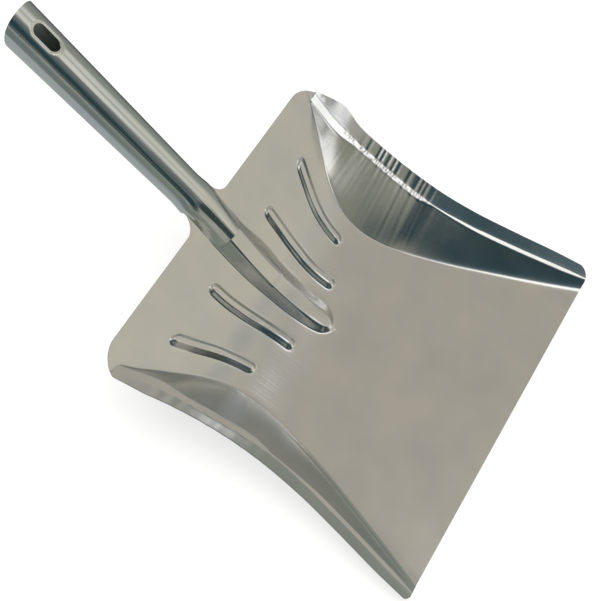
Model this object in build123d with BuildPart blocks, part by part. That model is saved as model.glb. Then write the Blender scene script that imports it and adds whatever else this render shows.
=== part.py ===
"""Pressed sheet-steel dustpan with a rolled tube handle, millimetres, +Z up.

The origin is the middle of the front edge, on the ground.  +Y runs back to the
handle and +X is the right-hand wall.  Two pieces: the pressed pan, and the
handle tube whose half-round tongue laps over the ridge of the pan.
"""
import os
from math import cos, radians, sin, sqrt, tan

from build123d import *

os.makedirs("parts", exist_ok=True)

# driving dimensions, millimetres and degrees
SHEET = 0.8            # thickness of the zinc-plated sheet
FRONT_WIDTH = 230.0    # front edge of the flat floor
PAN_LENGTH = 220.0     # front edge to back edge, in plan
BACK_SLOPE = 41.0      # the back of the pan rises at this angle
BEND_AT = 157.0        # where the floor and the back panel would meet
BEND_RADIUS = 110.0
LIP_AT_FRONT = 9.8     # height of the lip's edge at the front
LIP_RISE = 0.203       # and its rise per millimetre towards the back
TUBE_SLOPE = 32.8      # the handle rises at this angle
TUBE_START = (230.0, 62.0)   # (y, z) where the tube becomes fully round
TUBE_END = 348.5       # upright cut at the end of the handle
TUBE_R_NECK = 11.3
TUBE_R_END = 13.9
HOLE_LENGTH = 20.0     # hanging hole, a slot along the top of the tube
HOLE_WIDTH = 10.0
HOLE_FROM_END = 15.0   # middle of the hole to the end cut, along the centre line
LAP_GAP = 0.08         # clearance between the tongue and the ridge

# trimming of the pan's outline in plan
FRONT_TRIM = 117.5     # half width where the front edge starts to round
SIDE_TRIM = 128.0      # just outside the lip at the front
SIDE_GAP = 1.0         # the outline runs this far outside the lip along the sides
BACK_TRIM = 120.0      # half width at the back, where the corners start to round
BACK_TRIM_AT = 203.0
CORNER_MID = (117.0, 214.5)  # middle of the rounded back corner
BACK_CORNER_R = 16.0
NECK_HALF = 12.0       # half width of the neck, and the fillet beside it
NECK_FILLET = 6.0
TRIM_HEIGHT = 120.0    # taller than the pan

# plan curves of the right half: (y, x)
FLOOR_FOLD = [(0, FRONT_WIDTH / 2), (25, 104.5), (55, 92.8), (85, 81.6), (115, 72.9), (130, 70.2),
              (145, 69.6), (160, 72.6), (175, 80.5), (190, 92.5), (205, 105.5), (228, 116.5)]
RIM_FOLD = [(0, 120.5), (25, 115.6), (55, 108.9), (85, 103.4), (115, 100.6), (130, 100.8),
            (145, 102.0), (160, 103.2), (175, 104.9), (190, 107.4), (205, 111.5), (228, 117.8)]
LIP_EDGE = [(0, 127.0), (25, 122.4), (55, 116.2), (85, 110.8), (115, 108.1), (130, 108.2),
            (145, 109.0), (160, 110.8), (175, 113.2), (190, 116.3), (205, 118.2), (228, 119.0)]
WALL_CURVE = [(0.30, 0.20), (0.60, 0.50), (0.85, 0.82), (1.0, 1.0)]  # (share across, share up)
FLAT_STATIONS = 5      # the first stations lie on the flat floor
FLAT_TRIM = 0.05       # taken off the underside, so that the floor rests on a true plane

# pressed ridge: (y, half width, height above the panel); the last two form the neck
RIDGE = [(123.0, 4.6, 0.5), (125.5, 6.6, 2.4), (131, 8.3, 3.9), (143, 9.2, 5.2), (155, 9.5, 6.6),
         (168, 9.9, 8.2), (182, 10.5, 9.5), (199.5, 11.3, 10.4), (213, 12.4, 11.4),
         (221, 12.6, 12.2)]
NECK_STATIONS = (230.0, 244.0)   # the neck goes on as a sleeve inside the tube
TONGUE_STATION = 7     # the tongue starts at this station of the ridge
TONGUE_LIFT = 1.8 * SHEET    # the tongue's edges stay this far above the middle of the sheet
LEAST_RISE = 0.3       # lowest arch that is lofted

# stiffening ribs of the right half: (y, x of the centre line)
INNER_RIB = [(196.5, 32.5), (184, 31.0), (172, 28.8), (156, 26.0), (145, 25.2), (137, 25.3)]
OUTER_RIB = [(197.5, 75.0), (184, 66.8), (173, 60.5), (161, 56.0), (149, 53.3)]
RIB_HALF_WIDTH = 4.2
RIB_HEIGHT = 2.6
RIB_END_SHARE = 0.45   # the end sections of a rib are this much smaller

# straight part under each arch, so that the lofts overlap the sheet
RIDGE_SKIRT = 0.3
RIB_SKIRT = 0.2
TONGUE_SKIRT = 0.1
SPACE_SKIRT = 3.0      # the spaces under ridge and ribs are cut right through the sheet
RIB_SPACE_SKIRT = 2.0
CLEARANCE_SKIRT = 0.5

TUBE_SPARE = 12.0      # the tube is built this much too long, then cut upright
END_BLOCK = 60.0       # block that makes the upright cut

slope = radians(TUBE_SLOPE)
along = Vector(0, cos(slope), sin(slope))
up = Vector(0, -sin(slope), cos(slope))
tube_start = Vector(0, TUBE_START[0], TUBE_START[1])
cut_length = (TUBE_END - TUBE_START[0]) / cos(slope)
tube_length = cut_length + TUBE_SPARE
spare_radius = TUBE_R_END + (TUBE_R_END - TUBE_R_NECK) * TUBE_SPARE / tube_length


def panel_z(y):
    """Height of the upper face of the floor and back panel at a distance y from the front."""
    back = radians(BACK_SLOPE)
    tangent = BEND_RADIUS * tan(back / 2)
    bend_start = BEND_AT - tangent
    bend_end = BEND_AT + tangent * cos(back)
    if y <= bend_start:
        return SHEET
    if y <= bend_end:
        return SHEET + BEND_RADIUS - sqrt(BEND_RADIUS ** 2 - (y - bend_start) ** 2)
    return SHEET + (y - BEND_AT) * tan(back)


def axis_z(y):
    """Height of the handle's centre line."""
    return TUBE_START[1] + (y - TUBE_START[0]) * tan(slope)


def across(y):
    """Upright sketch plane across the pan, a distance y behind the front edge."""
    return Plane.XZ.offset(-y)


def across_tube(distance):
    """Plane square to the handle's centre line."""
    return Plane(origin=tube_start + along * distance, x_dir=(1, 0, 0), z_dir=along)


def pan_section(y, fold_x, rim_x, edge_x):
    """Closed outline of the sheet across the pan: floor, concave wall and flared lip."""
    floor = panel_z(y)
    edge_z = LIP_AT_FRONT + LIP_RISE * y
    rim_z = max(5.4 + 0.155 * y + 0.00024 * y ** 2, floor + SHEET)
    half = [(fold_x, floor)]
    for share, rise in WALL_CURVE:
        half.append((fold_x + share * (rim_x - fold_x), floor + rise * (rim_z - floor)))
    half.append((edge_x, max(edge_z, rim_z + 0.5)))
    top = [(-x, z) for x, z in reversed(half)] + half
    return top + [(x, z - SHEET - FLAT_TRIM) for x, z in reversed(top)]


def lofted(arches, skirt):
    """Solid through a row of half ellipses (y, x, half width, height, base) on straight skirts."""
    with BuildPart() as body:
        for y, x, half_width, height, base in arches:
            with BuildSketch(across(y)):
                with BuildLine():
                    EllipticalCenterArc((x, base), half_width, height, start_angle=0, arc_size=180)
                    Polyline((x - half_width, base), (x - half_width, base - skirt),
                             (x + half_width, base - skirt), (x + half_width, base))
                make_face()
        loft()
    return body.part


def ridge_arches(grow, lift=0.0):
    """Sections of the ridge, its surface moved outwards by grow and its foot raised by lift."""
    arches = []
    for y, half_width, height in RIDGE:
        rise = max(height - lift + grow / cos(radians(BACK_SLOPE)), LEAST_RISE)
        arches.append((y, 0, half_width + grow, rise, panel_z(y) - SHEET / 2 + lift))
    radius = TUBE_R_NECK - SHEET - LAP_GAP + grow
    for y in NECK_STATIONS:
        arches.append((y, 0, radius, radius / cos(slope), axis_z(y)))
    return arches


def rib_arches(stations, side, grow):
    """Sections of one pressed rib along its centre line, dying into the sheet at both ends."""
    arches = []
    for y, x in stations:
        share = RIB_END_SHARE if (y, x) in (stations[0], stations[-1]) else 1.0
        arches.append((y, side * x, (RIB_HALF_WIDTH + grow) * share,
                       (RIB_HEIGHT + SHEET / 2 + grow) * share, panel_z(y) - SHEET / 2))
    return arches


# the pan's outline in plan, used to trim the pressed sheet
with BuildPart() as plan_block:
    front_round_end = (SIDE_TRIM, SIDE_TRIM - FRONT_TRIM)
    fillet_share = 1 - sqrt(0.5)
    with BuildSketch():
        with BuildLine():
            Line((0, 0), (FRONT_TRIM, 0))
            TangentArc((FRONT_TRIM, 0), front_round_end, tangent=(1, 0))
            Spline([front_round_end] + [(x + SIDE_GAP, y) for y, x in LIP_EDGE[1:-2]]
                   + [(BACK_TRIM, BACK_TRIM_AT)])
            ThreePointArc((BACK_TRIM, BACK_TRIM_AT), CORNER_MID,
                          (BACK_TRIM - BACK_CORNER_R, PAN_LENGTH))
            Line((BACK_TRIM - BACK_CORNER_R, PAN_LENGTH), (NECK_HALF + NECK_FILLET, PAN_LENGTH))
            ThreePointArc((NECK_HALF + NECK_FILLET, PAN_LENGTH),
                          (NECK_HALF + fillet_share * NECK_FILLET,
                           PAN_LENGTH + fillet_share * NECK_FILLET),
                          (NECK_HALF, PAN_LENGTH + NECK_FILLET))
            Line((NECK_HALF, PAN_LENGTH + NECK_FILLET), (0, PAN_LENGTH + NECK_FILLET))
            mirror(about=Plane.YZ)
        make_face()
    extrude(amount=TRIM_HEIGHT)

with BuildPart() as pan:
    # the sheet is lofted in two runs, so that the floor stays exactly flat; it runs on a little
    # past the back edge, so that the neck can be trimmed from it
    sections = [(y, fold_x, rim_x, edge_x) for (y, fold_x), (_, rim_x), (_, edge_x)
                in zip(FLOOR_FOLD, RIM_FOLD, LIP_EDGE)]
    for run in (sections[:FLAT_STATIONS], sections[FLAT_STATIONS - 1:]):
        for y, fold_x, rim_x, edge_x in run:
            with BuildSketch(across(y)):
                with BuildLine():
                    Polyline(*pan_section(y, fold_x, rim_x, edge_x), close=True)
                make_face()
        loft()
    add(plan_block.part, mode=Mode.INTERSECT)
    # the ridge and the four ribs, hollow from below
    add(lofted(ridge_arches(0.0), RIDGE_SKIRT))
    add(lofted(ridge_arches(-SHEET), SPACE_SKIRT), mode=Mode.SUBTRACT)
    for side in (-1, 1):
        for stations in (INNER_RIB, OUTER_RIB):
            add(lofted(rib_arches(stations, side, 0.0), RIB_SKIRT))
            add(lofted(rib_arches(stations, side, -SHEET), RIB_SPACE_SKIRT), mode=Mode.SUBTRACT)

with BuildPart() as handle_tube:
    # the tongue, as a solid over the ridge
    add(lofted(ridge_arches(SHEET + LAP_GAP, TONGUE_LIFT)[TONGUE_STATION:-1], TONGUE_SKIRT))
    # the tapered tube and the hollow inside it
    with BuildSketch(across_tube(0)):
        Circle(TUBE_R_NECK)
    with BuildSketch(across_tube(tube_length)):
        Circle(spare_radius)
    loft()
    with BuildSketch(across_tube(-1)):
        Circle(TUBE_R_NECK - SHEET)
    with BuildSketch(across_tube(0)):
        Circle(TUBE_R_NECK - SHEET)
    with BuildSketch(across_tube(tube_length + 1)):
        Circle(spare_radius - SHEET)
    loft(ruled=True, mode=Mode.SUBTRACT)
    # the ridge and its clearance are taken out of the tongue
    add(lofted(ridge_arches(LAP_GAP), CLEARANCE_SKIRT), mode=Mode.SUBTRACT)
    # upright cut at the end
    with Locations((0, TUBE_END + END_BLOCK / 2, 2 * END_BLOCK)):
        Box(END_BLOCK, END_BLOCK, 2 * END_BLOCK, mode=Mode.SUBTRACT)
    # hanging hole through the top wall
    hole_middle = tube_start + along * (cut_length - HOLE_FROM_END) + up * (TUBE_R_END / 2)
    with BuildSketch(Plane(origin=hole_middle, x_dir=along, z_dir=up)):
        SlotOverall(HOLE_LENGTH, HOLE_WIDTH)
    extrude(amount=TUBE_R_END, mode=Mode.SUBTRACT)

pan.part.label = "pan"
handle_tube.part.label = "handle_tube"
export_step(pan.part, "parts/pan.step")
export_step(handle_tube.part, "parts/handle_tube.step")
for name, piece in (("pan", pan.part), ("handle_tube", handle_tube.part)):
    box = piece.bounding_box()
    print(name, "valid", piece.is_valid, "solids", len(piece.solids()), "volume", round(piece.volume),
          [round(v, 1) for v in (box.min.X, box.min.Y, box.min.Z, box.max.X, box.max.Y, box.max.Z)])
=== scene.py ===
"""Pressed zinc-plated dustpan with a rolled tube handle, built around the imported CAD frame.

Shapes are worked out in millimetres in the part's own frame (+Y back to the handle, +X the
right-hand wall, +Z up) and written to the meshes in metres.
"""
from math import cos, pi, radians, sin, sqrt, tan

import bpy
import numpy as np
from mathutils import Matrix, Vector

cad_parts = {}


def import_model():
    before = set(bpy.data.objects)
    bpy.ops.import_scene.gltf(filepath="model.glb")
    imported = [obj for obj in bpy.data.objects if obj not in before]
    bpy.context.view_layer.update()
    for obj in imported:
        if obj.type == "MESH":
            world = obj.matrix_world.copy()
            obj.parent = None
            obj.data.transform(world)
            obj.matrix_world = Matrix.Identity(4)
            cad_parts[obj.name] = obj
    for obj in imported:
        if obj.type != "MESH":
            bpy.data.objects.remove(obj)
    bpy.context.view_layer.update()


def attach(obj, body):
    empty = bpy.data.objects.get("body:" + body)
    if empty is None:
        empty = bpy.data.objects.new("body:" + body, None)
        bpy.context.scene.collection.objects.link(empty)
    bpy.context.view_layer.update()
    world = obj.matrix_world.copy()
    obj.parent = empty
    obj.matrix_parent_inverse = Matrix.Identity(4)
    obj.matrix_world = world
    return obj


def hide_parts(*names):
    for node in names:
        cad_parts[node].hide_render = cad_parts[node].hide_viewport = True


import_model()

MM = 0.001

# ---------------------------------------------------------------- pan, in millimetres
SHEET = 0.8
PAN_LENGTH = 220.0
BACK_SLOPE = radians(41.0)
BEND_AT = 157.0                 # y where floor and back panel would meet without the bend
BEND_RADIUS = 110.0
BACK_CORNER = 120.6             # half width at the end of the rounded rear corner
BACK_CORNER_R = 20.0
NECK_SIDE = 12.6                # half width of the neck behind the back edge
NECK_FILLET = 9.5
# front corners by side, 1 the right: half width where the straight edge ends, and the radius
FRONT_CORNER = {1: (119.4, 7.4), -1: (123.6, 4.6)}
CORNER_REACH = 0.995            # share of the radius that the front corner's curve covers

# plan curves of the right half: (y, x)
FLOOR_FOLD = [(0, 115), (25, 104.5), (55, 92.8), (85, 81.6), (115, 72.9), (130, 70.2),
              (145, 69.6), (160, 72.6), (175, 80.5), (190, 92.5), (205, 105.5), (228, 118.5)]
RIM_FOLD = [(0, 122.0), (25, 116.2), (55, 109.4), (85, 103.6), (115, 100.8), (130, 100.9),
            (145, 102.2), (160, 103.6), (175, 105.3), (190, 107.8), (205, 112.5), (228, 120.0)]
LIP_EDGE = [(0, 128.2), (25, 124.0), (55, 117.8), (85, 112.3), (115, 109.4), (130, 109.2),
            (145, 109.8), (160, 111.2), (175, 113.4), (190, 116.3), (205, 118.0), (228, 119.4)]
LIP_SWELL, LIP_SWELL_AT, LIP_SWELL_REACH = 3.3, 190, 10      # right-hand lip only

# From here on, a BLEND is (y where it begins, length), an END is (y where it ends, length), and
# a ZONE is (y where it begins, length of the run-in, y where it ends, length of the run-out).

# heights of the rim fold and of the lip's edge: at y = 0, and how they rise with y
RIM_Z, RIM_RISE, RIM_RISE_MORE = 5.4, 0.155, 0.00024
EDGE_Z, EDGE_RISE = 8.2, 0.200
EDGE_REAR_RISE, EDGE_REAR_BLEND = 1.2, (90, 60)
EDGE_CORNER_DROP, EDGE_CORNER_BLEND = 3.4, (199, 14)
LEAST_STEP = 0.3                # least height of the rim over the panel and of the edge over the rim
# share of the wall's rise that is straight, and how much more at the back
STRAIGHT, STRAIGHT_MORE, STRAIGHT_BLEND = 0.80, 0.08, (110, 50)
# flatter ledge along the rim fold: its least width either side, and what each zone adds
LEDGE_SLOPE = 0.22
LEDGE_LEAST = 0.6
LEDGE_FRONT_ZONE, LEDGE_FRONT = (-10, 30, 120, 60), (1.0, 0.9)
LEDGE_WAIST_BLEND, LEDGE_WAIST = (108, 14), (2.1, 0.5)
LEDGE_CORNER_BLEND, LEDGE_CORNER = (168, 18), (1.8, 0.3)
LIP_STEEP = 3.0                 # takes the lip's plane out of the way inside the ledge
RIM_ROUND = 0.3
FOLD_ROUND, FOLD_FRONT_ROUND, FOLD_ROUND_END = 0.7, 0.8, (120, 90)

# pressed ridge: (y, half width, height over the panel)
RIDGE = [(123.5, 5.4, 2.6), (131, 8.0, 4.0), (143, 9.2, 5.4), (155, 9.6, 6.8), (168, 10.0, 8.2),
         (182, 11.0, 9.4), (199.5, 12.2, 10.0), (213, 12.2, 9.5), (224, 12.0, 9.8)]
NOSE_END = 123.0
NOSE_LENGTH = 6.5
CREST_HALF = 4.9                # half width of the flat crest, where the ridge is wide enough
CREST_SHARE = 0.52              # greatest share of the ridge's half width that is flat
CREST_LOSS, CREST_LOSS_BLEND = 0.12, (200, 6)       # narrower again under the handle's tongue
FLANK_GENTLER, FLANK_ZONE = 0.72, (122, 12, 204, 24)   # right-hand flank only
RIDGE_ROUND, NOSE_MORE_ROUND, NOSE_ROUND_END = 0.08, 0.10, (152, 14)
STEP_DEPTH, STEP_BLEND, STEP_EDGE = 0.35, (166, 1.5), 0.1   # small step across the crest
RIDGE_FOOT_RIGHT, RIDGE_FOOT_LEFT = 0.7, 0.4       # rounding where the flanks meet the panel

# stiffening ribs of the right half: (y, x of the centre line)
INNER_RIB = [(137, 25.3), (145, 25.2), (156, 26.0), (172, 28.8), (184, 31.0), (196.5, 32.5)]
OUTER_RIB = [(149, 53.3), (161, 56.0), (173, 60.5), (184, 66.8), (197.5, 75.0)]
RIBS = ((INNER_RIB, 4.2, 2.9), (OUTER_RIB, 3.9, 2.8))         # with half width and height
RIB_CREST = 0.44
RIB_ROUND, RIB_FRONT_ROUND, RIB_ROUND_LENGTH = 0.10, 0.30, 8
RIB_FOOT = 0.6

# right-hand side: sharp pleats, and streaks that fan down the wall
PLEAT_PITCH = 5.1
PLEAT_ON_LIP, PLEAT_ON_RIM, PLEAT_ON_WALL = 0.62, 0.46, 0.12
PLEAT_ZONE, PLEAT_RIM_ZONE = (108, 12, 176, 14), (108, 12, 190, 14)
PLEAT_LEAD = 0.4                # how far inside the rim fold the lip's wrinkles begin
PLEAT_LIP_RUN, PLEAT_RIM_REACH, PLEAT_WALL_REACH = 2.0, 1.4, 9.0
STREAK_DEPTH, STREAK_ZONE, STREAK_RUN_IN = 0.055, (98, 25, 186, 16), 2.5
# left-hand side: soft waves of the lip, and a second crease beside the fold
WAVE_ON_LIP, WAVE_ON_WALL = 0.16, 0.06
WAVE_ZONE = (95, 30, 200, 20)
CREASE_HEIGHT, CREASE_FROM_FOLD, CREASE_REACH = 0.22, 3.8, 0.9
CREASE_ZONE = (0, 25, 125, 40)
# groove along the rear part of the right-hand fold
GROOVE_DEPTH, GROOVE_FROM_FOLD, GROOVE_REACH = 0.26, -0.1, 0.5
GROOVE_BLEND = (108, 20)

# pan mesh: cells across floor, wall and lip of one half, and rows from front to back
FLOOR_CELLS, WALL_CELLS, LIP_CELLS = 190, 46, 20
PAN_ROWS = 300
FLOOR_BUNCHING, WALL_BUNCHING = 0.08, 0.11
PLAN_ROUNDS, PLAN_STEP = 40, 0.4
UNDERSIDE_GAP = 0.1             # taken off the thickness, so that the underside stays inside the CAD

# ---------------------------------------------------------------- handle, in millimetres
TUBE_SLOPE = radians(32.8)
TUBE_START = (230.0, 62.1)      # y and z of the tube's axis at the neck
TUBE_END = 348.5                # y of the upright cut at the open end
TUBE_R_NECK = 11.3
TUBE_R_END = 13.9
TUBE_LENGTH = (TUBE_END - TUBE_START[0]) / cos(TUBE_SLOPE) + TUBE_R_END * tan(TUBE_SLOPE)
END_CUT, END_CUT_POWER = 6.9, 1.25   # how the upright cut shortens the tube below its top line
UNDER_START = 8.0               # the tube's underside begins this much later
NECK_FLARE, NECK_FLARE_REACH = 1.2, 6.0
SLOT_AT = TUBE_LENGTH - 21.5
SLOT_HALF = 5.1                 # half length of the slot's straight sides
SLOT_R = 4.4
SLOT_PRESS, SLOT_PRESS_REACH = 0.6, 1.2
TONGUE_FOOT = 205.0             # y of the tongue's front end
TONGUE_HALF = 12.9
TONGUE_TALL = 9.2
SADDLE_ROUND = 0.8

# handle mesh, in degrees, rows and columns
SEAM_ANGLE = 179.3              # leaves the seam underneath open by a hair
TOP_COLUMNS, LOW_COLUMNS = 101, 34
TOP_BUNCHING = 9                # columns lie closer along the top, where the slot is
TUBE_ROWS = ((0, 0.78, 110), (0.78, 0.99, 75), (0.99, 1, 4))   # share from, to, rows
TONGUE_ROWS = 40
TUBE_UV_START = 0.3

# directions in the part's frame
ACROSS = np.array([1.0, 0, 0])
ALONG = np.array([0, cos(TUBE_SLOPE), sin(TUBE_SLOPE)])
UP = np.array([0, -sin(TUBE_SLOPE), cos(TUBE_SLOPE)])
NECK_POINT = np.array([0, *TUBE_START])


# ---------------------------------------------------------------- curves and blends
def curve(points):
    """Smooth curve through (y, value) points: cubic pieces with finite-difference slopes."""
    ys = np.array([p[0] for p in points], float)
    vs = np.array([p[1] for p in points], float)
    slopes = np.gradient(vs, ys)

    def value(y):
        y = np.clip(y, ys[0], ys[-1])
        i = np.clip(np.searchsorted(ys, y, side="right") - 1, 0, len(ys) - 2)
        step = ys[i + 1] - ys[i]
        t = (y - ys[i]) / step
        return ((1 + 2 * t) * (1 - t) ** 2 * vs[i] + t * (1 - t) ** 2 * step * slopes[i]
                + t * t * (3 - 2 * t) * vs[i + 1] - t * t * (1 - t) * step * slopes[i + 1])
    return value


floor_fold, rim_fold, even_lip = curve(FLOOR_FOLD), curve(RIM_FOLD), curve(LIP_EDGE)
ridge_width = curve([(y, w) for y, w, h in RIDGE])
ridge_height = curve([(y, h) for y, w, h in RIDGE])


def smax(a, b, k):
    """Greater of two heights, with the crease between them rounded over about k."""
    return 0.5 * (a + b + np.sqrt((a - b) ** 2 + k * k))


def smin(a, b, k):
    """Lesser of two heights, with the crease between them rounded over about k."""
    return 0.5 * (a + b - np.sqrt((a - b) ** 2 + k * k))


def bump01(x):
    """Smooth step from 0 to 1."""
    x = np.clip(x, 0.0, 1.0)
    return x * x * (3 - 2 * x)


def after(x, start, length):
    """Smooth step: 0 up to the start, and 1 from a length after it."""
    return bump01((x - start) / length)


def before(x, end, length):
    """Smooth step: 1 up to a length before the end, and 0 from the end on."""
    return bump01((end - x) / length)


def between(x, start, run_in, end, run_out):
    """Smooth share: 0 outside start to end, and 1 between the run-in and the run-out."""
    return after(x, start, run_in) * before(x, end, run_out)


def hill(x, middle, reach):
    """Rounded hill of height 1 at the middle, nearly gone at twice the reach."""
    return np.exp(-((x - middle) / reach) ** 2)


# ---------------------------------------------------------------- pan
def panel_z(y):
    """Upper face of the floor and back panel."""
    tangent = BEND_RADIUS * tan(BACK_SLOPE / 2)
    start = BEND_AT - tangent
    end = BEND_AT + tangent * cos(BACK_SLOPE)
    into_bend = np.minimum(y, end) - start
    arc = BEND_RADIUS - np.sqrt(np.maximum(BEND_RADIUS ** 2 - into_bend ** 2, 0))
    straight = (y - BEND_AT) * tan(BACK_SLOPE)
    return SHEET + np.where(y <= start, 0.0, np.where(y <= end, arc, straight))


def keel(rho, crest, rounding):
    """Cross-section of a pressed ridge, 1 on its flat crest and 0 at its foot, rho = 1."""
    return smin(1.0, (1 - rho) / (1 - crest), rounding)


def rib_height(x, y, points, half_width, height):
    """Height over the panel of one pressed rib with rounded ends, crisper in its rear half."""
    centre = curve(points)
    slope = centre(y + 0.5) - centre(y - 0.5)
    first, last = points[0][0] + half_width, points[-1][0] - half_width
    across = (x - centre(y)) / np.sqrt(1 + slope ** 2)
    beyond = np.maximum(np.maximum(first - y, y - last), 0.0)
    rounding = RIB_ROUND + RIB_FRONT_ROUND * before(y, (first + last) / 2, RIB_ROUND_LENGTH)
    return height * keel(np.sqrt(across ** 2 + beyond ** 2) / half_width, RIB_CREST, rounding)


def ridge_over_panel(x, y):
    """Height over the panel of the central ridge, with a small step down across its crest."""
    w, h = ridge_width(y), ridge_height(y)
    beyond = np.maximum(NOSE_END + NOSE_LENGTH - y, 0.0)
    crest = np.minimum(CREST_SHARE, CREST_HALF / w) - CREST_LOSS * after(y, *CREST_LOSS_BLEND)
    gentle = 1 + FLANK_GENTLER * between(y, *FLANK_ZONE)
    share = np.where(x > crest * w, crest + (x / w - crest) / gentle, np.abs(x) / w)
    rho = np.sqrt(share ** 2 + (beyond / NOSE_LENGTH) ** 2)
    rounding = RIDGE_ROUND + NOSE_MORE_ROUND * before(y, *NOSE_ROUND_END)
    on_crest = before(rho, crest + STEP_EDGE, STEP_EDGE)
    step_down = STEP_DEPTH * after(y, *STEP_BLEND) * on_crest
    return h * keel(rho, crest, rounding) - step_down


def lip_edge(y, side):
    """Outer edge of the lip; the right-hand one (side 1) swells out near the rear corner."""
    swell = LIP_SWELL * hill(y, LIP_SWELL_AT, LIP_SWELL_REACH)
    return even_lip(y) + np.where(side > 0, swell, 0.0)


def right_pleats(y, past_rim, inward, on_wall):
    """Sharp pleats, deepest on the rim fold, and fine streaks that fan from them down the wall."""
    # sums of sines at odd rates make the pitch, depth and reach uneven, as on real sheet
    phase = y / PLEAT_PITCH + 0.35 * np.sin(y * 0.21) + 0.18 * np.sin(y * 0.57)
    wave = np.abs(np.sin(pi * phase)) ** 0.7 - 0.55
    uneven = 0.865 + 0.135 * np.sin(y * 0.37 + 0.6)
    on_lip = PLEAT_ON_LIP * bump01(past_rim / PLEAT_LIP_RUN) * uneven
    on_rim = PLEAT_ON_RIM * hill(past_rim, 0, PLEAT_RIM_REACH)
    sharp = wave * (between(y, *PLEAT_ZONE) * (on_lip + PLEAT_ON_WALL * on_wall)
                    + between(y, *PLEAT_RIM_ZONE) * on_rim)
    fan = y - inward * (0.25 * after(y, 120, 60) - 0.08)
    streak = np.sin(fan * 1.55 + 1.1 * np.sin(fan * 0.43)) + 0.8 * np.sin(fan * 0.93 + 2.0)
    reach = 5.0 + 5.5 * (1 + np.sin(fan * 0.71 + 1.0))
    fade = between(fan, *STREAK_ZONE) * bump01(inward / STREAK_RUN_IN) * np.exp(-inward / reach)
    return sharp + STREAK_DEPTH * streak * fade


def left_waves(y, past_rim, on_wall):
    """Softer and longer waves of the left-hand lip."""
    wave = np.sin(y * 0.62 + 0.8 * np.sin(y * 0.11)) * between(y, *WAVE_ZONE)
    return wave * (WAVE_ON_LIP * bump01(past_rim / PLEAT_LIP_RUN) + WAVE_ON_WALL * on_wall)


def wrinkles(x, y):
    """Wrinkles that the press left where the lip and wall are gathered round the waist."""
    from_rim = np.abs(x) - rim_fold(y)
    past_rim = from_rim + PLEAT_LEAD
    inward = np.maximum(-from_rim, 0)
    on_wall = np.exp(-inward / PLEAT_WALL_REACH) * (from_rim <= 1)
    return np.where(x > 0, right_pleats(y, past_rim, inward, on_wall),
                    left_waves(y, past_rim, on_wall))


def rise_share(share, y):
    """Share of the wall's rise at a share of its width: hollow in front, straighter at the back."""
    straight = STRAIGHT + STRAIGHT_MORE * after(y, *STRAIGHT_BLEND)
    return np.where(share > 0, share * (straight + (1 - straight) * share), straight * share)


def ledge_sides(y):
    """How far the flatter ledge at the rim fold reaches inwards and outwards."""
    front = between(y, *LEDGE_FRONT_ZONE)
    waist = after(y, *LEDGE_WAIST_BLEND)
    corner = after(y, *LEDGE_CORNER_BLEND)
    return [LEDGE_LEAST + at_front * front + at_waist * waist + at_corner * corner
            for at_front, at_waist, at_corner in zip(LEDGE_FRONT, LEDGE_WAIST, LEDGE_CORNER)]


def rim_and_edge_heights(y, panel):
    """Heights of the rim fold and of the lip's outer edge, neither below the back panel."""
    rim_z = smax(RIM_Z + RIM_RISE * y + RIM_RISE_MORE * y * y, panel + LEAST_STEP, 1.0)
    edge_z = (EDGE_Z + EDGE_RISE * y + EDGE_REAR_RISE * after(y, *EDGE_REAR_BLEND)
              - EDGE_CORNER_DROP * after(y, *EDGE_CORNER_BLEND))
    return rim_z, smax(edge_z, rim_z + LEAST_STEP, 0.5)


def side_height(x, y, panel):
    """Upper face of the side wall, of the ledge at its rim and of the lip."""
    ax = np.abs(x)
    foot, rim, edge = floor_fold(y), rim_fold(y), lip_edge(y, np.sign(x))
    rim_z, edge_z = rim_and_edge_heights(y, panel)
    inner, outer = ledge_sides(y)
    share = (ax - foot) / np.maximum(rim - inner - foot, 1.0)
    wall = panel + (rim_z - LEDGE_SLOPE * inner - panel) * rise_share(share, y)
    ledge = rim_z + (ax - rim) * LEDGE_SLOPE
    lip_foot_z = rim_z + LEDGE_SLOPE * outer
    out = ax - rim - outer
    lip_slope = (edge_z - lip_foot_z) / np.maximum(edge - rim - outer, 1.5)
    lip = lip_foot_z + out * np.where(out > 0, lip_slope, LIP_STEEP)
    side = smin(wall, smax(ledge, lip, RIM_ROUND), RIM_ROUND) + wrinkles(x, y)
    crease = CREASE_HEIGHT * hill(ax - foot, CREASE_FROM_FOLD, CREASE_REACH)
    return side + np.where(x < 0, crease * between(y, *CREASE_ZONE), 0.0)


def pan_height(x, y):
    """Upper face of the pressed pan over the plan point (x, y)."""
    ax = np.abs(x)
    panel = panel_z(y)
    fold_round = FOLD_ROUND + FOLD_FRONT_ROUND * before(y, *FOLD_ROUND_END)
    z = smax(panel, side_height(x, y, panel), fold_round)
    groove = GROOVE_DEPTH * hill(ax - floor_fold(y), GROOVE_FROM_FOLD, GROOVE_REACH)
    z = z - np.where(x > 0, groove * after(y, *GROOVE_BLEND), 0.0)
    foot_round = np.where(x > 0, RIDGE_FOOT_RIGHT, RIDGE_FOOT_LEFT)
    z = smax(z, panel + ridge_over_panel(x, y), foot_round)
    for points, half_width, height in RIBS:
        z = smax(z, panel + rib_height(ax, y, points, half_width, height), RIB_FOOT)
    return z


def back_edge(x):
    """y of the back edge in plan: rounded corners, and the neck running into the tube."""
    ax = np.abs(x)
    past_corner = np.maximum(ax - (BACK_CORNER - BACK_CORNER_R), 0)
    drop = BACK_CORNER_R - np.sqrt(np.maximum(BACK_CORNER_R ** 2 - past_corner ** 2, 0))
    inward = np.clip(NECK_SIDE + NECK_FILLET - ax, 0, NECK_FILLET)
    neck = NECK_FILLET - np.sqrt(NECK_FILLET ** 2 - inward ** 2)
    return PAN_LENGTH - drop + neck


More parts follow.
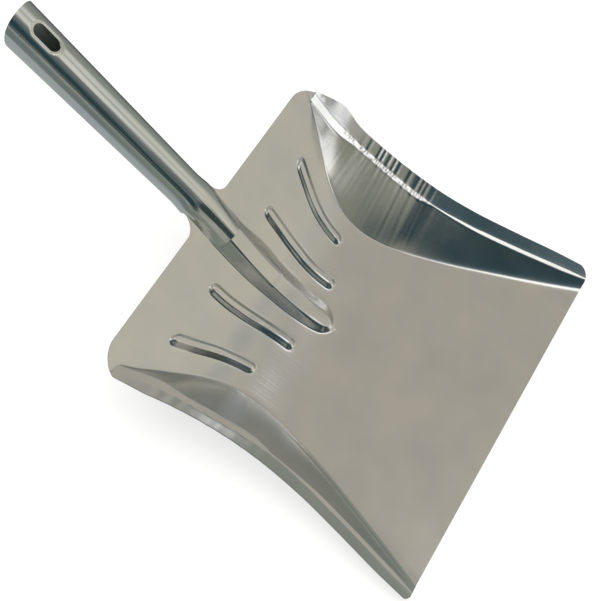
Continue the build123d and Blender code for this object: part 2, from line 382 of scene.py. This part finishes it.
def front_edge(x, side):
    """y of the front edge in plan: the right lip has a well rounded end, the left a sharp one."""
    flat, radius = FRONT_CORNER[side]
    over = np.clip(x - flat, 0, CORNER_REACH * radius)
    return radius - np.sqrt(radius ** 2 - over ** 2)


# ---------------------------------------------------------------- meshes
def mesh_object(name, verts, faces, uvs=None):
    """New object from points in millimetres, with a UV pair for each point if given."""
    mesh = bpy.data.meshes.new(name)
    mesh.from_pydata([tuple(v) for v in (np.asarray(verts) * MM)], [], [tuple(f) for f in faces])
    if uvs is not None:
        layer = mesh.uv_layers.new(name="sheet")
        loop_verts = np.empty(len(mesh.loops), int)
        mesh.loops.foreach_get("vertex_index", loop_verts)
        layer.data.foreach_set("uv", np.asarray(uvs)[loop_verts].ravel())
    mesh.validate()
    mesh.update()
    obj = bpy.data.objects.new(name, mesh)
    bpy.context.scene.collection.objects.link(obj)
    return obj


def thicken(obj, thickness, under_material=0):
    """Give a sheet its thickness, away from its upper face, and shade it by angle."""
    solid = obj.modifiers.new("thickness", "SOLIDIFY")
    solid.thickness = thickness * MM
    solid.offset = -1.0
    solid.use_even_offset = False
    solid.material_offset = under_material
    with bpy.context.temp_override(object=obj, active_object=obj, selected_objects=[obj]):
        bpy.ops.object.modifier_apply(modifier=solid.name)
    obj.data.shade_smooth()
    obj.data.set_sharp_from_angle(angle=radians(50))


def bunched_shares(cells, bunching):
    """Shares from 0 up to but not 1, closer together near both ends."""
    shares = np.linspace(0, 1, cells + 1)[:-1]
    return shares - bunching * np.sin(2 * pi * shares)


def build_pan():
    """The pressed sheet: a grid that follows the folds, lifted to the pressed height."""
    v = np.linspace(0, 1, PAN_ROWS)[:, None]
    floor_s = bunched_shares(FLOOR_CELLS, FLOOR_BUNCHING)
    wall_s = bunched_shares(WALL_CELLS, WALL_BUNCHING)
    lip_s = np.linspace(0, 1, LIP_CELLS + 1)
    on_floor = slice(0, FLOOR_CELLS)
    on_wall = slice(FLOOR_CELLS, FLOOR_CELLS + WALL_CELLS)
    on_lip = slice(FLOOR_CELLS + WALL_CELLS, None)

    def half(side):
        """Plan points of one half, from the middle outwards: the folds lie on grid lines."""
        y = v * PAN_LENGTH + np.zeros(FLOOR_CELLS + WALL_CELLS + LIP_CELLS + 1)
        for _ in range(PLAN_ROUNDS):
            foot, rim, edge = floor_fold(y), rim_fold(y), lip_edge(y, side)
            x = np.concatenate([foot[:, on_floor] * floor_s,
                                foot[:, on_wall] + (rim - foot)[:, on_wall] * wall_s,
                                rim[:, on_lip] + (edge - rim)[:, on_lip] * lip_s], axis=1)
            front = front_edge(x, side)
            y = (1 - PLAN_STEP) * y + PLAN_STEP * (front + v * (back_edge(x) - front))
        return x, y

    right_x, right_y = half(1)
    left_x, left_y = half(-1)
    x = np.concatenate([-left_x[:, :0:-1], right_x], axis=1)
    y = np.concatenate([left_y[:, :0:-1], right_y], axis=1)
    z = pan_height(x, y)
    cols = x.shape[1]
    verts = np.stack([x, y, z], axis=2).reshape(-1, 3)
    index = np.arange(PAN_ROWS * cols).reshape(PAN_ROWS, cols)
    faces = np.stack([index[:-1, :-1], index[:-1, 1:], index[1:, 1:], index[1:, :-1]], axis=2)
    obj = mesh_object("pan_sheet", verts, faces.reshape(-1, 4))
    thicken(obj, SHEET - UNDERSIDE_GAP)
    return obj


def saddle(rho):
    """Cross-section of the tongue: round on top with straighter sides, 0 at rho = 1."""
    def fall(share):
        return sqrt(share ** 2 + SADDLE_ROUND ** 2) - SADDLE_ROUND
    return 1 - fall(rho) / fall(1)


def tube_radius(s):
    """Radius of the tapering tube at the distance s along its axis."""
    return TUBE_R_NECK + (TUBE_R_END - TUBE_R_NECK) * s / TUBE_LENGTH


def tongue_point(t, a):
    """Point of the tongue at share t of its run and angle a from its top, and y of its section.

    It starts as a saddle that lies on the pan's ridge and opens into the round tube.
    """
    ease = t * t * (3 - 2 * t)
    run = TUBE_START[0] - TONGUE_FOOT
    y = TONGUE_FOOT + t * run
    foot_z = float(panel_z(np.array(TONGUE_FOOT)))
    base = (foot_z * (1 - ease) + TUBE_START[1] * ease
            + run * (tan(BACK_SLOPE) * t * (1 - t) ** 2 - tan(TUBE_SLOPE) * t * t * (1 - t)))
    tilt = BACK_SLOPE + (TUBE_SLOPE - BACK_SLOPE) * ease
    tall = TONGUE_TALL + (TUBE_R_NECK - TONGUE_TALL) * ease
    rho = abs(a) / (pi / 2)
    round_half = TUBE_R_NECK + NECK_FLARE * abs(sin(a))
    u = (1 - ease) * TONGUE_HALF * rho * np.sign(a) + ease * round_half * sin(a)
    h = tall * ((1 - ease) * saddle(rho) + ease * max(cos(a), 0.0))
    return (u, y - h * sin(tilt), base + h * cos(tilt)), y


def tube_point(v, a):
    """Point of the tube at share v of its length and angle a from its top, and its distance s."""
    drop = END_CUT * (1 - cos(a)) ** END_CUT_POWER
    begin = UNDER_START * sin(max(abs(a) - pi / 2, 0)) ** 2
    s = begin + v * (TUBE_LENGTH - drop - begin)
    r = tube_radius(s)
    wide = r + NECK_FLARE * hill(s, 0, NECK_FLARE_REACH) * abs(sin(a))
    gap = sqrt(max(abs(s - SLOT_AT) - SLOT_HALF, 0) ** 2 + (r * a) ** 2) - SLOT_R
    press = SLOT_PRESS * hill(max(gap, 0), 0, SLOT_PRESS_REACH)
    point = NECK_POINT + ALONG * s + ACROSS * (wide - press) * sin(a) + UP * (r - press) * cos(a)
    return tuple(point), s


def handle_faces(n, n_low, rows):
    """Faces of the handle, and the index of the tube's first point.

    The tongue's rows lack the n_low columns on either side.
    """
    faces = []
    top_n = n - 2 * n_low
    first_ring = TONGUE_ROWS * top_n
    for j in range(TONGUE_ROWS):
        here = j * top_n
        ahead = here + top_n if j + 1 < TONGUE_ROWS else first_ring + n_low
        for i in range(top_n - 1):
            faces.append((here + i, here + i + 1, ahead + i + 1, ahead + i))
    for j in range(rows - 1):
        for i in range(n - 1):
            q = first_ring + j * n + i
            faces.append((q, q + 1, q + n + 1, q + n))
    return faces, first_ring


def open_slot(verts, faces, first_ring):
    """Drop the faces inside the hanging slot, and draw the edge left onto the slot's outline."""
    s = (verts - NECK_POINT) @ ALONG
    turn = np.arctan2(verts[:, 0], (verts - NECK_POINT) @ UP)
    arc = tube_radius(s) * turn
    from_middle = s - SLOT_AT
    over = np.sign(from_middle) * np.maximum(np.abs(from_middle) - SLOT_HALF, 0)
    dist = np.sqrt(over ** 2 + arc ** 2)
    in_slot = (np.arange(len(verts)) >= first_ring) & (dist < SLOT_R)
    kept = [f for f in faces if not all(in_slot[list(f)])]
    used = np.zeros(len(verts), bool)
    for f in kept:
        used[list(f)] = True
    snap = used & in_slot
    scale = SLOT_R / np.maximum(dist[snap], 1e-6)
    new_s = SLOT_AT + (from_middle[snap] - over[snap]) + over[snap] * scale
    angle = arc[snap] * scale / tube_radius(new_s)
    edge_r = tube_radius(new_s) - SLOT_PRESS
    verts[snap] = (NECK_POINT + ALONG * new_s[:, None] + ACROSS * (edge_r * np.sin(angle))[:, None]
                   + UP * (edge_r * np.cos(angle))[:, None])
    return kept, used


def build_handle(outer_metal, inner_metal):
    """The rolled tube, with its hanging slot, and the tongue that laps over the ridge."""
    top = np.linspace(-90, 90, TOP_COLUMNS)
    top = top - TOP_BUNCHING * np.sin(np.radians(2 * top))
    low = np.linspace(90, SEAM_ANGLE, LOW_COLUMNS)[1:]
    angles = np.radians(np.concatenate([-low[::-1], top, low]))
    shares = np.concatenate([np.linspace(first, last, rows, endpoint=last == 1)
                             for first, last, rows in TUBE_ROWS])
    verts, uvs = [], []
    for t in np.linspace(0, 1, TONGUE_ROWS, endpoint=False):
        for a in angles[len(low):-len(low)]:
            point, y = tongue_point(t, a)
            verts.append(point)
            uvs.append((a * TUBE_R_END * MM, y * MM))
    for v in shares:
        for a in angles:
            point, s = tube_point(v, a)
            verts.append(point)
            uvs.append((a * TUBE_R_END * MM, s * MM + TUBE_UV_START))
    verts, uvs = np.array(verts), np.array(uvs)
    faces, first_ring = handle_faces(len(angles), len(low), len(shares))
    kept, used = open_slot(verts, faces, first_ring)
    remap = np.cumsum(used) - 1
    obj = mesh_object("handle_sheet", verts[used], [tuple(remap[list(f)]) for f in kept], uvs[used])
    obj.data.materials.append(outer_metal)
    obj.data.materials.append(inner_metal)
    thicken(obj, SHEET, under_material=1)
    return obj


# ---------------------------------------------------------------- materials
# noise cells per metre
CLOUDS, BLOTCHES, WAVES = 28, 60, 26
TINT_GRAIN, FINE_GRAIN = 1500, 900
BUMP_STRENGTH = 0.35
BUMP_DISTANCE = 0.0004


def zinc(name, base, warm, roughness, line_scale, line_source, line_depth):
    """Zinc-plated sheet: bright metal with faint cloudy mottling and rolling lines."""
    mat = bpy.data.materials.new(name)
    mat.use_nodes = True
    nt = mat.node_tree
    nt.nodes.clear()
    out = nt.nodes.new("ShaderNodeOutputMaterial")
    bsdf = nt.nodes.new("ShaderNodeBsdfPrincipled")
    nt.links.new(bsdf.outputs["BSDF"], out.inputs["Surface"])
    bsdf.inputs["Metallic"].default_value = 1.0
    coords = nt.nodes.new("ShaderNodeTexCoord")

    def noise(scale, detail, shift, stretch=(1, 1, 1), source="Object"):
        """Noise over the surface, shifted so that no two of them line up."""
        mapping = nt.nodes.new("ShaderNodeMapping")
        mapping.inputs["Scale"].default_value = stretch
        mapping.inputs["Location"].default_value = (shift, shift * 0.7, 0)
        nt.links.new(coords.outputs[source], mapping.inputs["Vector"])
        tex = nt.nodes.new("ShaderNodeTexNoise")
        tex.inputs["Scale"].default_value = scale
        tex.inputs["Detail"].default_value = detail
        nt.links.new(mapping.outputs["Vector"], tex.inputs["Vector"])
        return tex.outputs["Fac"]

    def spread(value, low, high):
        """Noise, which is mostly 0.3 to 0.7, stretched to the range from low to high."""
        node = nt.nodes.new("ShaderNodeMapRange")
        node.inputs["From Min"].default_value = 0.3
        node.inputs["From Max"].default_value = 0.7
        node.inputs["To Min"].default_value = low
        node.inputs["To Max"].default_value = high
        nt.links.new(value, node.inputs["Value"])
        return node.outputs["Result"]

    def added(first, second):
        """Sum of two values."""
        node = nt.nodes.new("ShaderNodeMath")
        node.operation = "ADD"
        nt.links.new(first, node.inputs[0])
        nt.links.new(second, node.inputs[1])
        return node.outputs["Value"]

    # colour: clouds from cool to warm, with a fine grain
    clouds = spread(noise(CLOUDS, 4, 1.0), -0.15, 0.85)
    grain = spread(noise(TINT_GRAIN, 2, 2.0), 0.0, 0.3)
    tint = nt.nodes.new("ShaderNodeMix")
    tint.data_type = "RGBA"
    tint.inputs["A"].default_value = (*base, 1)
    tint.inputs["B"].default_value = (*warm, 1)
    nt.links.new(added(clouds, grain), tint.inputs["Factor"])
    nt.links.new(tint.outputs["Result"], bsdf.inputs["Base Color"])

    # roughness: blotches and a fine grain
    blotches = spread(noise(BLOTCHES, 3, 5.0), roughness * 0.88, roughness * 1.12)
    fine = spread(noise(FINE_GRAIN, 2, 3.0), -0.02, 0.03)
    nt.links.new(added(blotches, fine), bsdf.inputs["Roughness"])

    # relief: rolling lines over slow waves
    relief = nt.nodes.new("ShaderNodeMath")
    relief.operation = "MULTIPLY_ADD"
    relief.inputs[1].default_value = line_depth
    nt.links.new(noise(1.0, 3, 7.0, line_scale, line_source), relief.inputs[0])
    nt.links.new(noise(WAVES, 2, 9.0), relief.inputs[2])
    bump = nt.nodes.new("ShaderNodeBump")
    bump.inputs["Strength"].default_value = BUMP_STRENGTH
    bump.inputs["Distance"].default_value = BUMP_DISTANCE
    nt.links.new(relief.outputs["Value"], bump.inputs["Height"])
    nt.links.new(bump.outputs["Normal"], bsdf.inputs["Normal"])
    return mat


pan_metal = zinc("zinc_pan", base=(0.60, 0.605, 0.61), warm=(0.675, 0.665, 0.635), roughness=0.19,
                 line_scale=(700, 12, 12), line_source="Object", line_depth=0.25)
tube_metal = zinc("zinc_tube", base=(0.66, 0.68, 0.67), warm=(0.70, 0.70, 0.67), roughness=0.13,
                  line_scale=(520, 7, 1), line_source="UV", line_depth=1.1)
# the tube's inner face: rougher zinc, with a darker teal-grey colour that is painted shade inside the
# tube
dull_metal_painted_shade = zinc("zinc_tube_inside_painted_shade", base=(0.36, 0.42, 0.42), warm=(0.42, 0.45, 0.43), roughness=0.42,
                  line_scale=(90, 7, 1), line_source="UV", line_depth=0.3)

pan_sheet = build_pan()
pan_sheet.data.materials.append(pan_metal)
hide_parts("pan")
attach(pan_sheet, "root")

handle_sheet = build_handle(tube_metal, dull_metal_painted_shade)
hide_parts("handle_tube")
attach(handle_sheet, "root")


# ---------------------------------------------------------------- stage, light and camera
FLOOR_HALF = 4.0
FLOOR_Z = -0.0006               # just below the pan

LIGHT_AT, LIGHT_TARGET = (0.1, 0.3, 1.8), (0, 0.12, 0)
LIGHT_SIZE = 3.0
LIGHT_POWER = 60

CAMERA_AT = (-0.3416, 0.0445, 0.7448)
CAMERA_AZIMUTH, CAMERA_ELEVATION, CAMERA_ROLL = radians(-73.02), radians(63.99), radians(15.10)
CAMERA_SENSOR, CAMERA_LENS = 36.0, 77.6

# what the metal mirrors: (azimuth, elevation, full radius, fade-out radius, colour).
# Azimuth 0 looks out over the front edge and 90 over the right-hand wall, all in degrees.
STUDIO = [
    ("warm wall ahead", 20, 22, 12, 58, (0.66, 0.635, 0.54)),
    ("beige ceiling", 95, 65, 18, 40, (0.53, 0.495, 0.425)),
    ("right side", 72, 4, 8, 28, (0.31, 0.34, 0.30)),
    ("low right side", 88, -18, 7, 22, (0.25, 0.265, 0.25)),
    ("dark low right", 100, -38, 10, 22, (0.12, 0.125, 0.13)),
    ("grey post", 29, 42, 2, 7, (0.46, 0.47, 0.45)),
    ("right window", 47, 32, 3, 9, (0.80, 0.81, 0.79)),
    ("pale table edge", -112, -48, 14, 38, (0.42, 0.48, 0.49)),
    ("left side", -80, -6, 10, 26, (0.19, 0.23, 0.23)),
    ("olive back-left", -80, 38, 10, 26, (0.31, 0.32, 0.26)),
    ("shade ahead", -30, 42, 4, 26, (0.16, 0.19, 0.19)),
    ("blue shade above", -40, 58, 5, 15, (0.09, 0.16, 0.20)),
    ("dark shade", -52, 46, 6, 15, (0.04, 0.085, 0.105)),
    ("dark core", -58, 30, 12, 18, (0.026, 0.062, 0.080)),
    ("low left", -60, -5, 10, 21, (0.25, 0.30, 0.24)),
    ("dark foot", -54, 19, 6, 13, (0.03, 0.06, 0.065)),
    ("dark gap", -20, 18, 14, 21, (0.04, 0.065, 0.063)),
    ("window ahead", 14, 5, 5, 13, (1.1, 1.1, 1.05)),
    ("front window", 8, 45, 2, 12, (0.85, 0.86, 0.82)),
    ("white wall behind left", -114, 31, 11, 20, (1.4, 1.42, 1.40)),
    ("pale ceiling", -20, 85, 7, 14, (0.90, 0.91, 0.96)),
    ("overhead softbox", 20, 73, 9.5, 13, (1.75, 1.77, 1.75)),
    ("second softbox", -150, 83, 4, 9, (1.3, 1.32, 1.30)),
]
STUDIO_BASE = (0.50, 0.49, 0.45)
BACKDROP = (0.96, 0.96, 0.955)


def direction(azimuth, elevation):
    """Unit vector towards an azimuth and elevation in radians, counted as in STUDIO."""
    return Vector((sin(azimuth) * cos(elevation), -cos(azimuth) * cos(elevation), sin(elevation)))


def build_floor():
    """A plain pale floor that the metal does not mirror."""
    mesh = bpy.data.meshes.new("floor")
    corners = [(-FLOOR_HALF, -FLOOR_HALF, FLOOR_Z), (FLOOR_HALF, -FLOOR_HALF, FLOOR_Z),
               (FLOOR_HALF, FLOOR_HALF, FLOOR_Z), (-FLOOR_HALF, FLOOR_HALF, FLOOR_Z)]
    mesh.from_pydata(corners, [], [(0, 1, 2, 3)])
    floor = bpy.data.objects.new("floor", mesh)
    bpy.context.scene.collection.objects.link(floor)
    mat = bpy.data.materials.new("pale_floor")
    mat.use_nodes = True
    bsdf = mat.node_tree.nodes["Principled BSDF"]
    bsdf.inputs["Base Color"].default_value = (0.30, 0.30, 0.297, 1)
    # most of its brightness is its own glow, which keeps the pan's shadow faint
    bsdf.inputs["Emission Color"].default_value = (1, 1, 0.995, 1)
    bsdf.inputs["Emission Strength"].default_value = 0.65
    bsdf.inputs["Roughness"].default_value = 0.9
    bsdf.inputs["Specular IOR Level"].default_value = 0.1
    mesh.materials.append(mat)
    floor.visible_glossy = False


def build_light():
    """One large soft disk overhead that the metal does not mirror."""
    data = bpy.data.lights.new("overhead", "AREA")
    data.shape = "DISK"
    data.size = LIGHT_SIZE
    data.energy = LIGHT_POWER
    lamp = bpy.data.objects.new("overhead", data)
    lamp.location = LIGHT_AT
    lamp.rotation_euler = (Vector(LIGHT_TARGET) - Vector(LIGHT_AT)).to_track_quat("-Z", "Y").to_euler()
    lamp.visible_glossy = False
    bpy.context.scene.collection.objects.link(lamp)


def build_world():
    """A soft room of broad patches for the metal to mirror, and a plain pale backdrop."""
    world = bpy.data.worlds.new("studio")
    bpy.context.scene.world = world
    world.use_nodes = True
    nt = world.node_tree
    nt.nodes.clear()
    coords = nt.nodes.new("ShaderNodeTexCoord")
    colour = nt.nodes.new("ShaderNodeRGB").outputs["Color"]
    colour.default_value = (*STUDIO_BASE, 1)
    for name, azimuth, elevation, inner, outer, shade in STUDIO:
        dot = nt.nodes.new("ShaderNodeVectorMath")
        dot.operation = "DOT_PRODUCT"
        dot.label = name
        dot.inputs[1].default_value = direction(radians(azimuth), radians(elevation))
        nt.links.new(coords.outputs["Generated"], dot.inputs[0])
        share = nt.nodes.new("ShaderNodeMapRange")
        share.interpolation_type = "SMOOTHSTEP"
        share.inputs["From Min"].default_value = cos(radians(outer))
        share.inputs["From Max"].default_value = cos(radians(inner))
        nt.links.new(dot.outputs["Value"], share.inputs["Value"])
        mix = nt.nodes.new("ShaderNodeMix")
        mix.data_type = "RGBA"
        nt.links.new(share.outputs["Result"], mix.inputs["Factor"])
        nt.links.new(colour, mix.inputs["A"])
        mix.inputs["B"].default_value = (*shade, 1)
        colour = mix.outputs["Result"]
    seen = nt.nodes.new("ShaderNodeLightPath")
    plain = nt.nodes.new("ShaderNodeMix")
    plain.data_type = "RGBA"
    nt.links.new(seen.outputs["Is Camera Ray"], plain.inputs["Factor"])
    nt.links.new(colour, plain.inputs["A"])
    plain.inputs["B"].default_value = (*BACKDROP, 1)
    background = nt.nodes.new("ShaderNodeBackground")
    nt.links.new(plain.outputs["Result"], background.inputs["Color"])
    out = nt.nodes.new("ShaderNodeOutputWorld")
    nt.links.new(background.outputs["Background"], out.inputs["Surface"])


def build_camera():
    """Camera above the left-hand wall, looking down at the pan and rolled a little."""
    back = direction(CAMERA_AZIMUTH, CAMERA_ELEVATION)
    level = (-back).cross(Vector((0, 0, 1))).normalized()
    above = level.cross(-back)
    right = cos(CAMERA_ROLL) * level + sin(CAMERA_ROLL) * above
    top = back.cross(right)
    turn = Matrix((right, top, back)).transposed()
    data = bpy.data.cameras.new("camera")
    data.sensor_width = CAMERA_SENSOR
    data.lens = CAMERA_LENS
    data.clip_start = 0.01
    camera = bpy.data.objects.new("camera", data)
    camera.matrix_world = Matrix.Translation(CAMERA_AT) @ turn.to_4x4()
    bpy.context.scene.collection.objects.link(camera)
    bpy.context.scene.camera = camera


build_floor()
build_world()
build_light()
build_camera()
bpy.context.scene.view_settings.view_transform = "Standard"
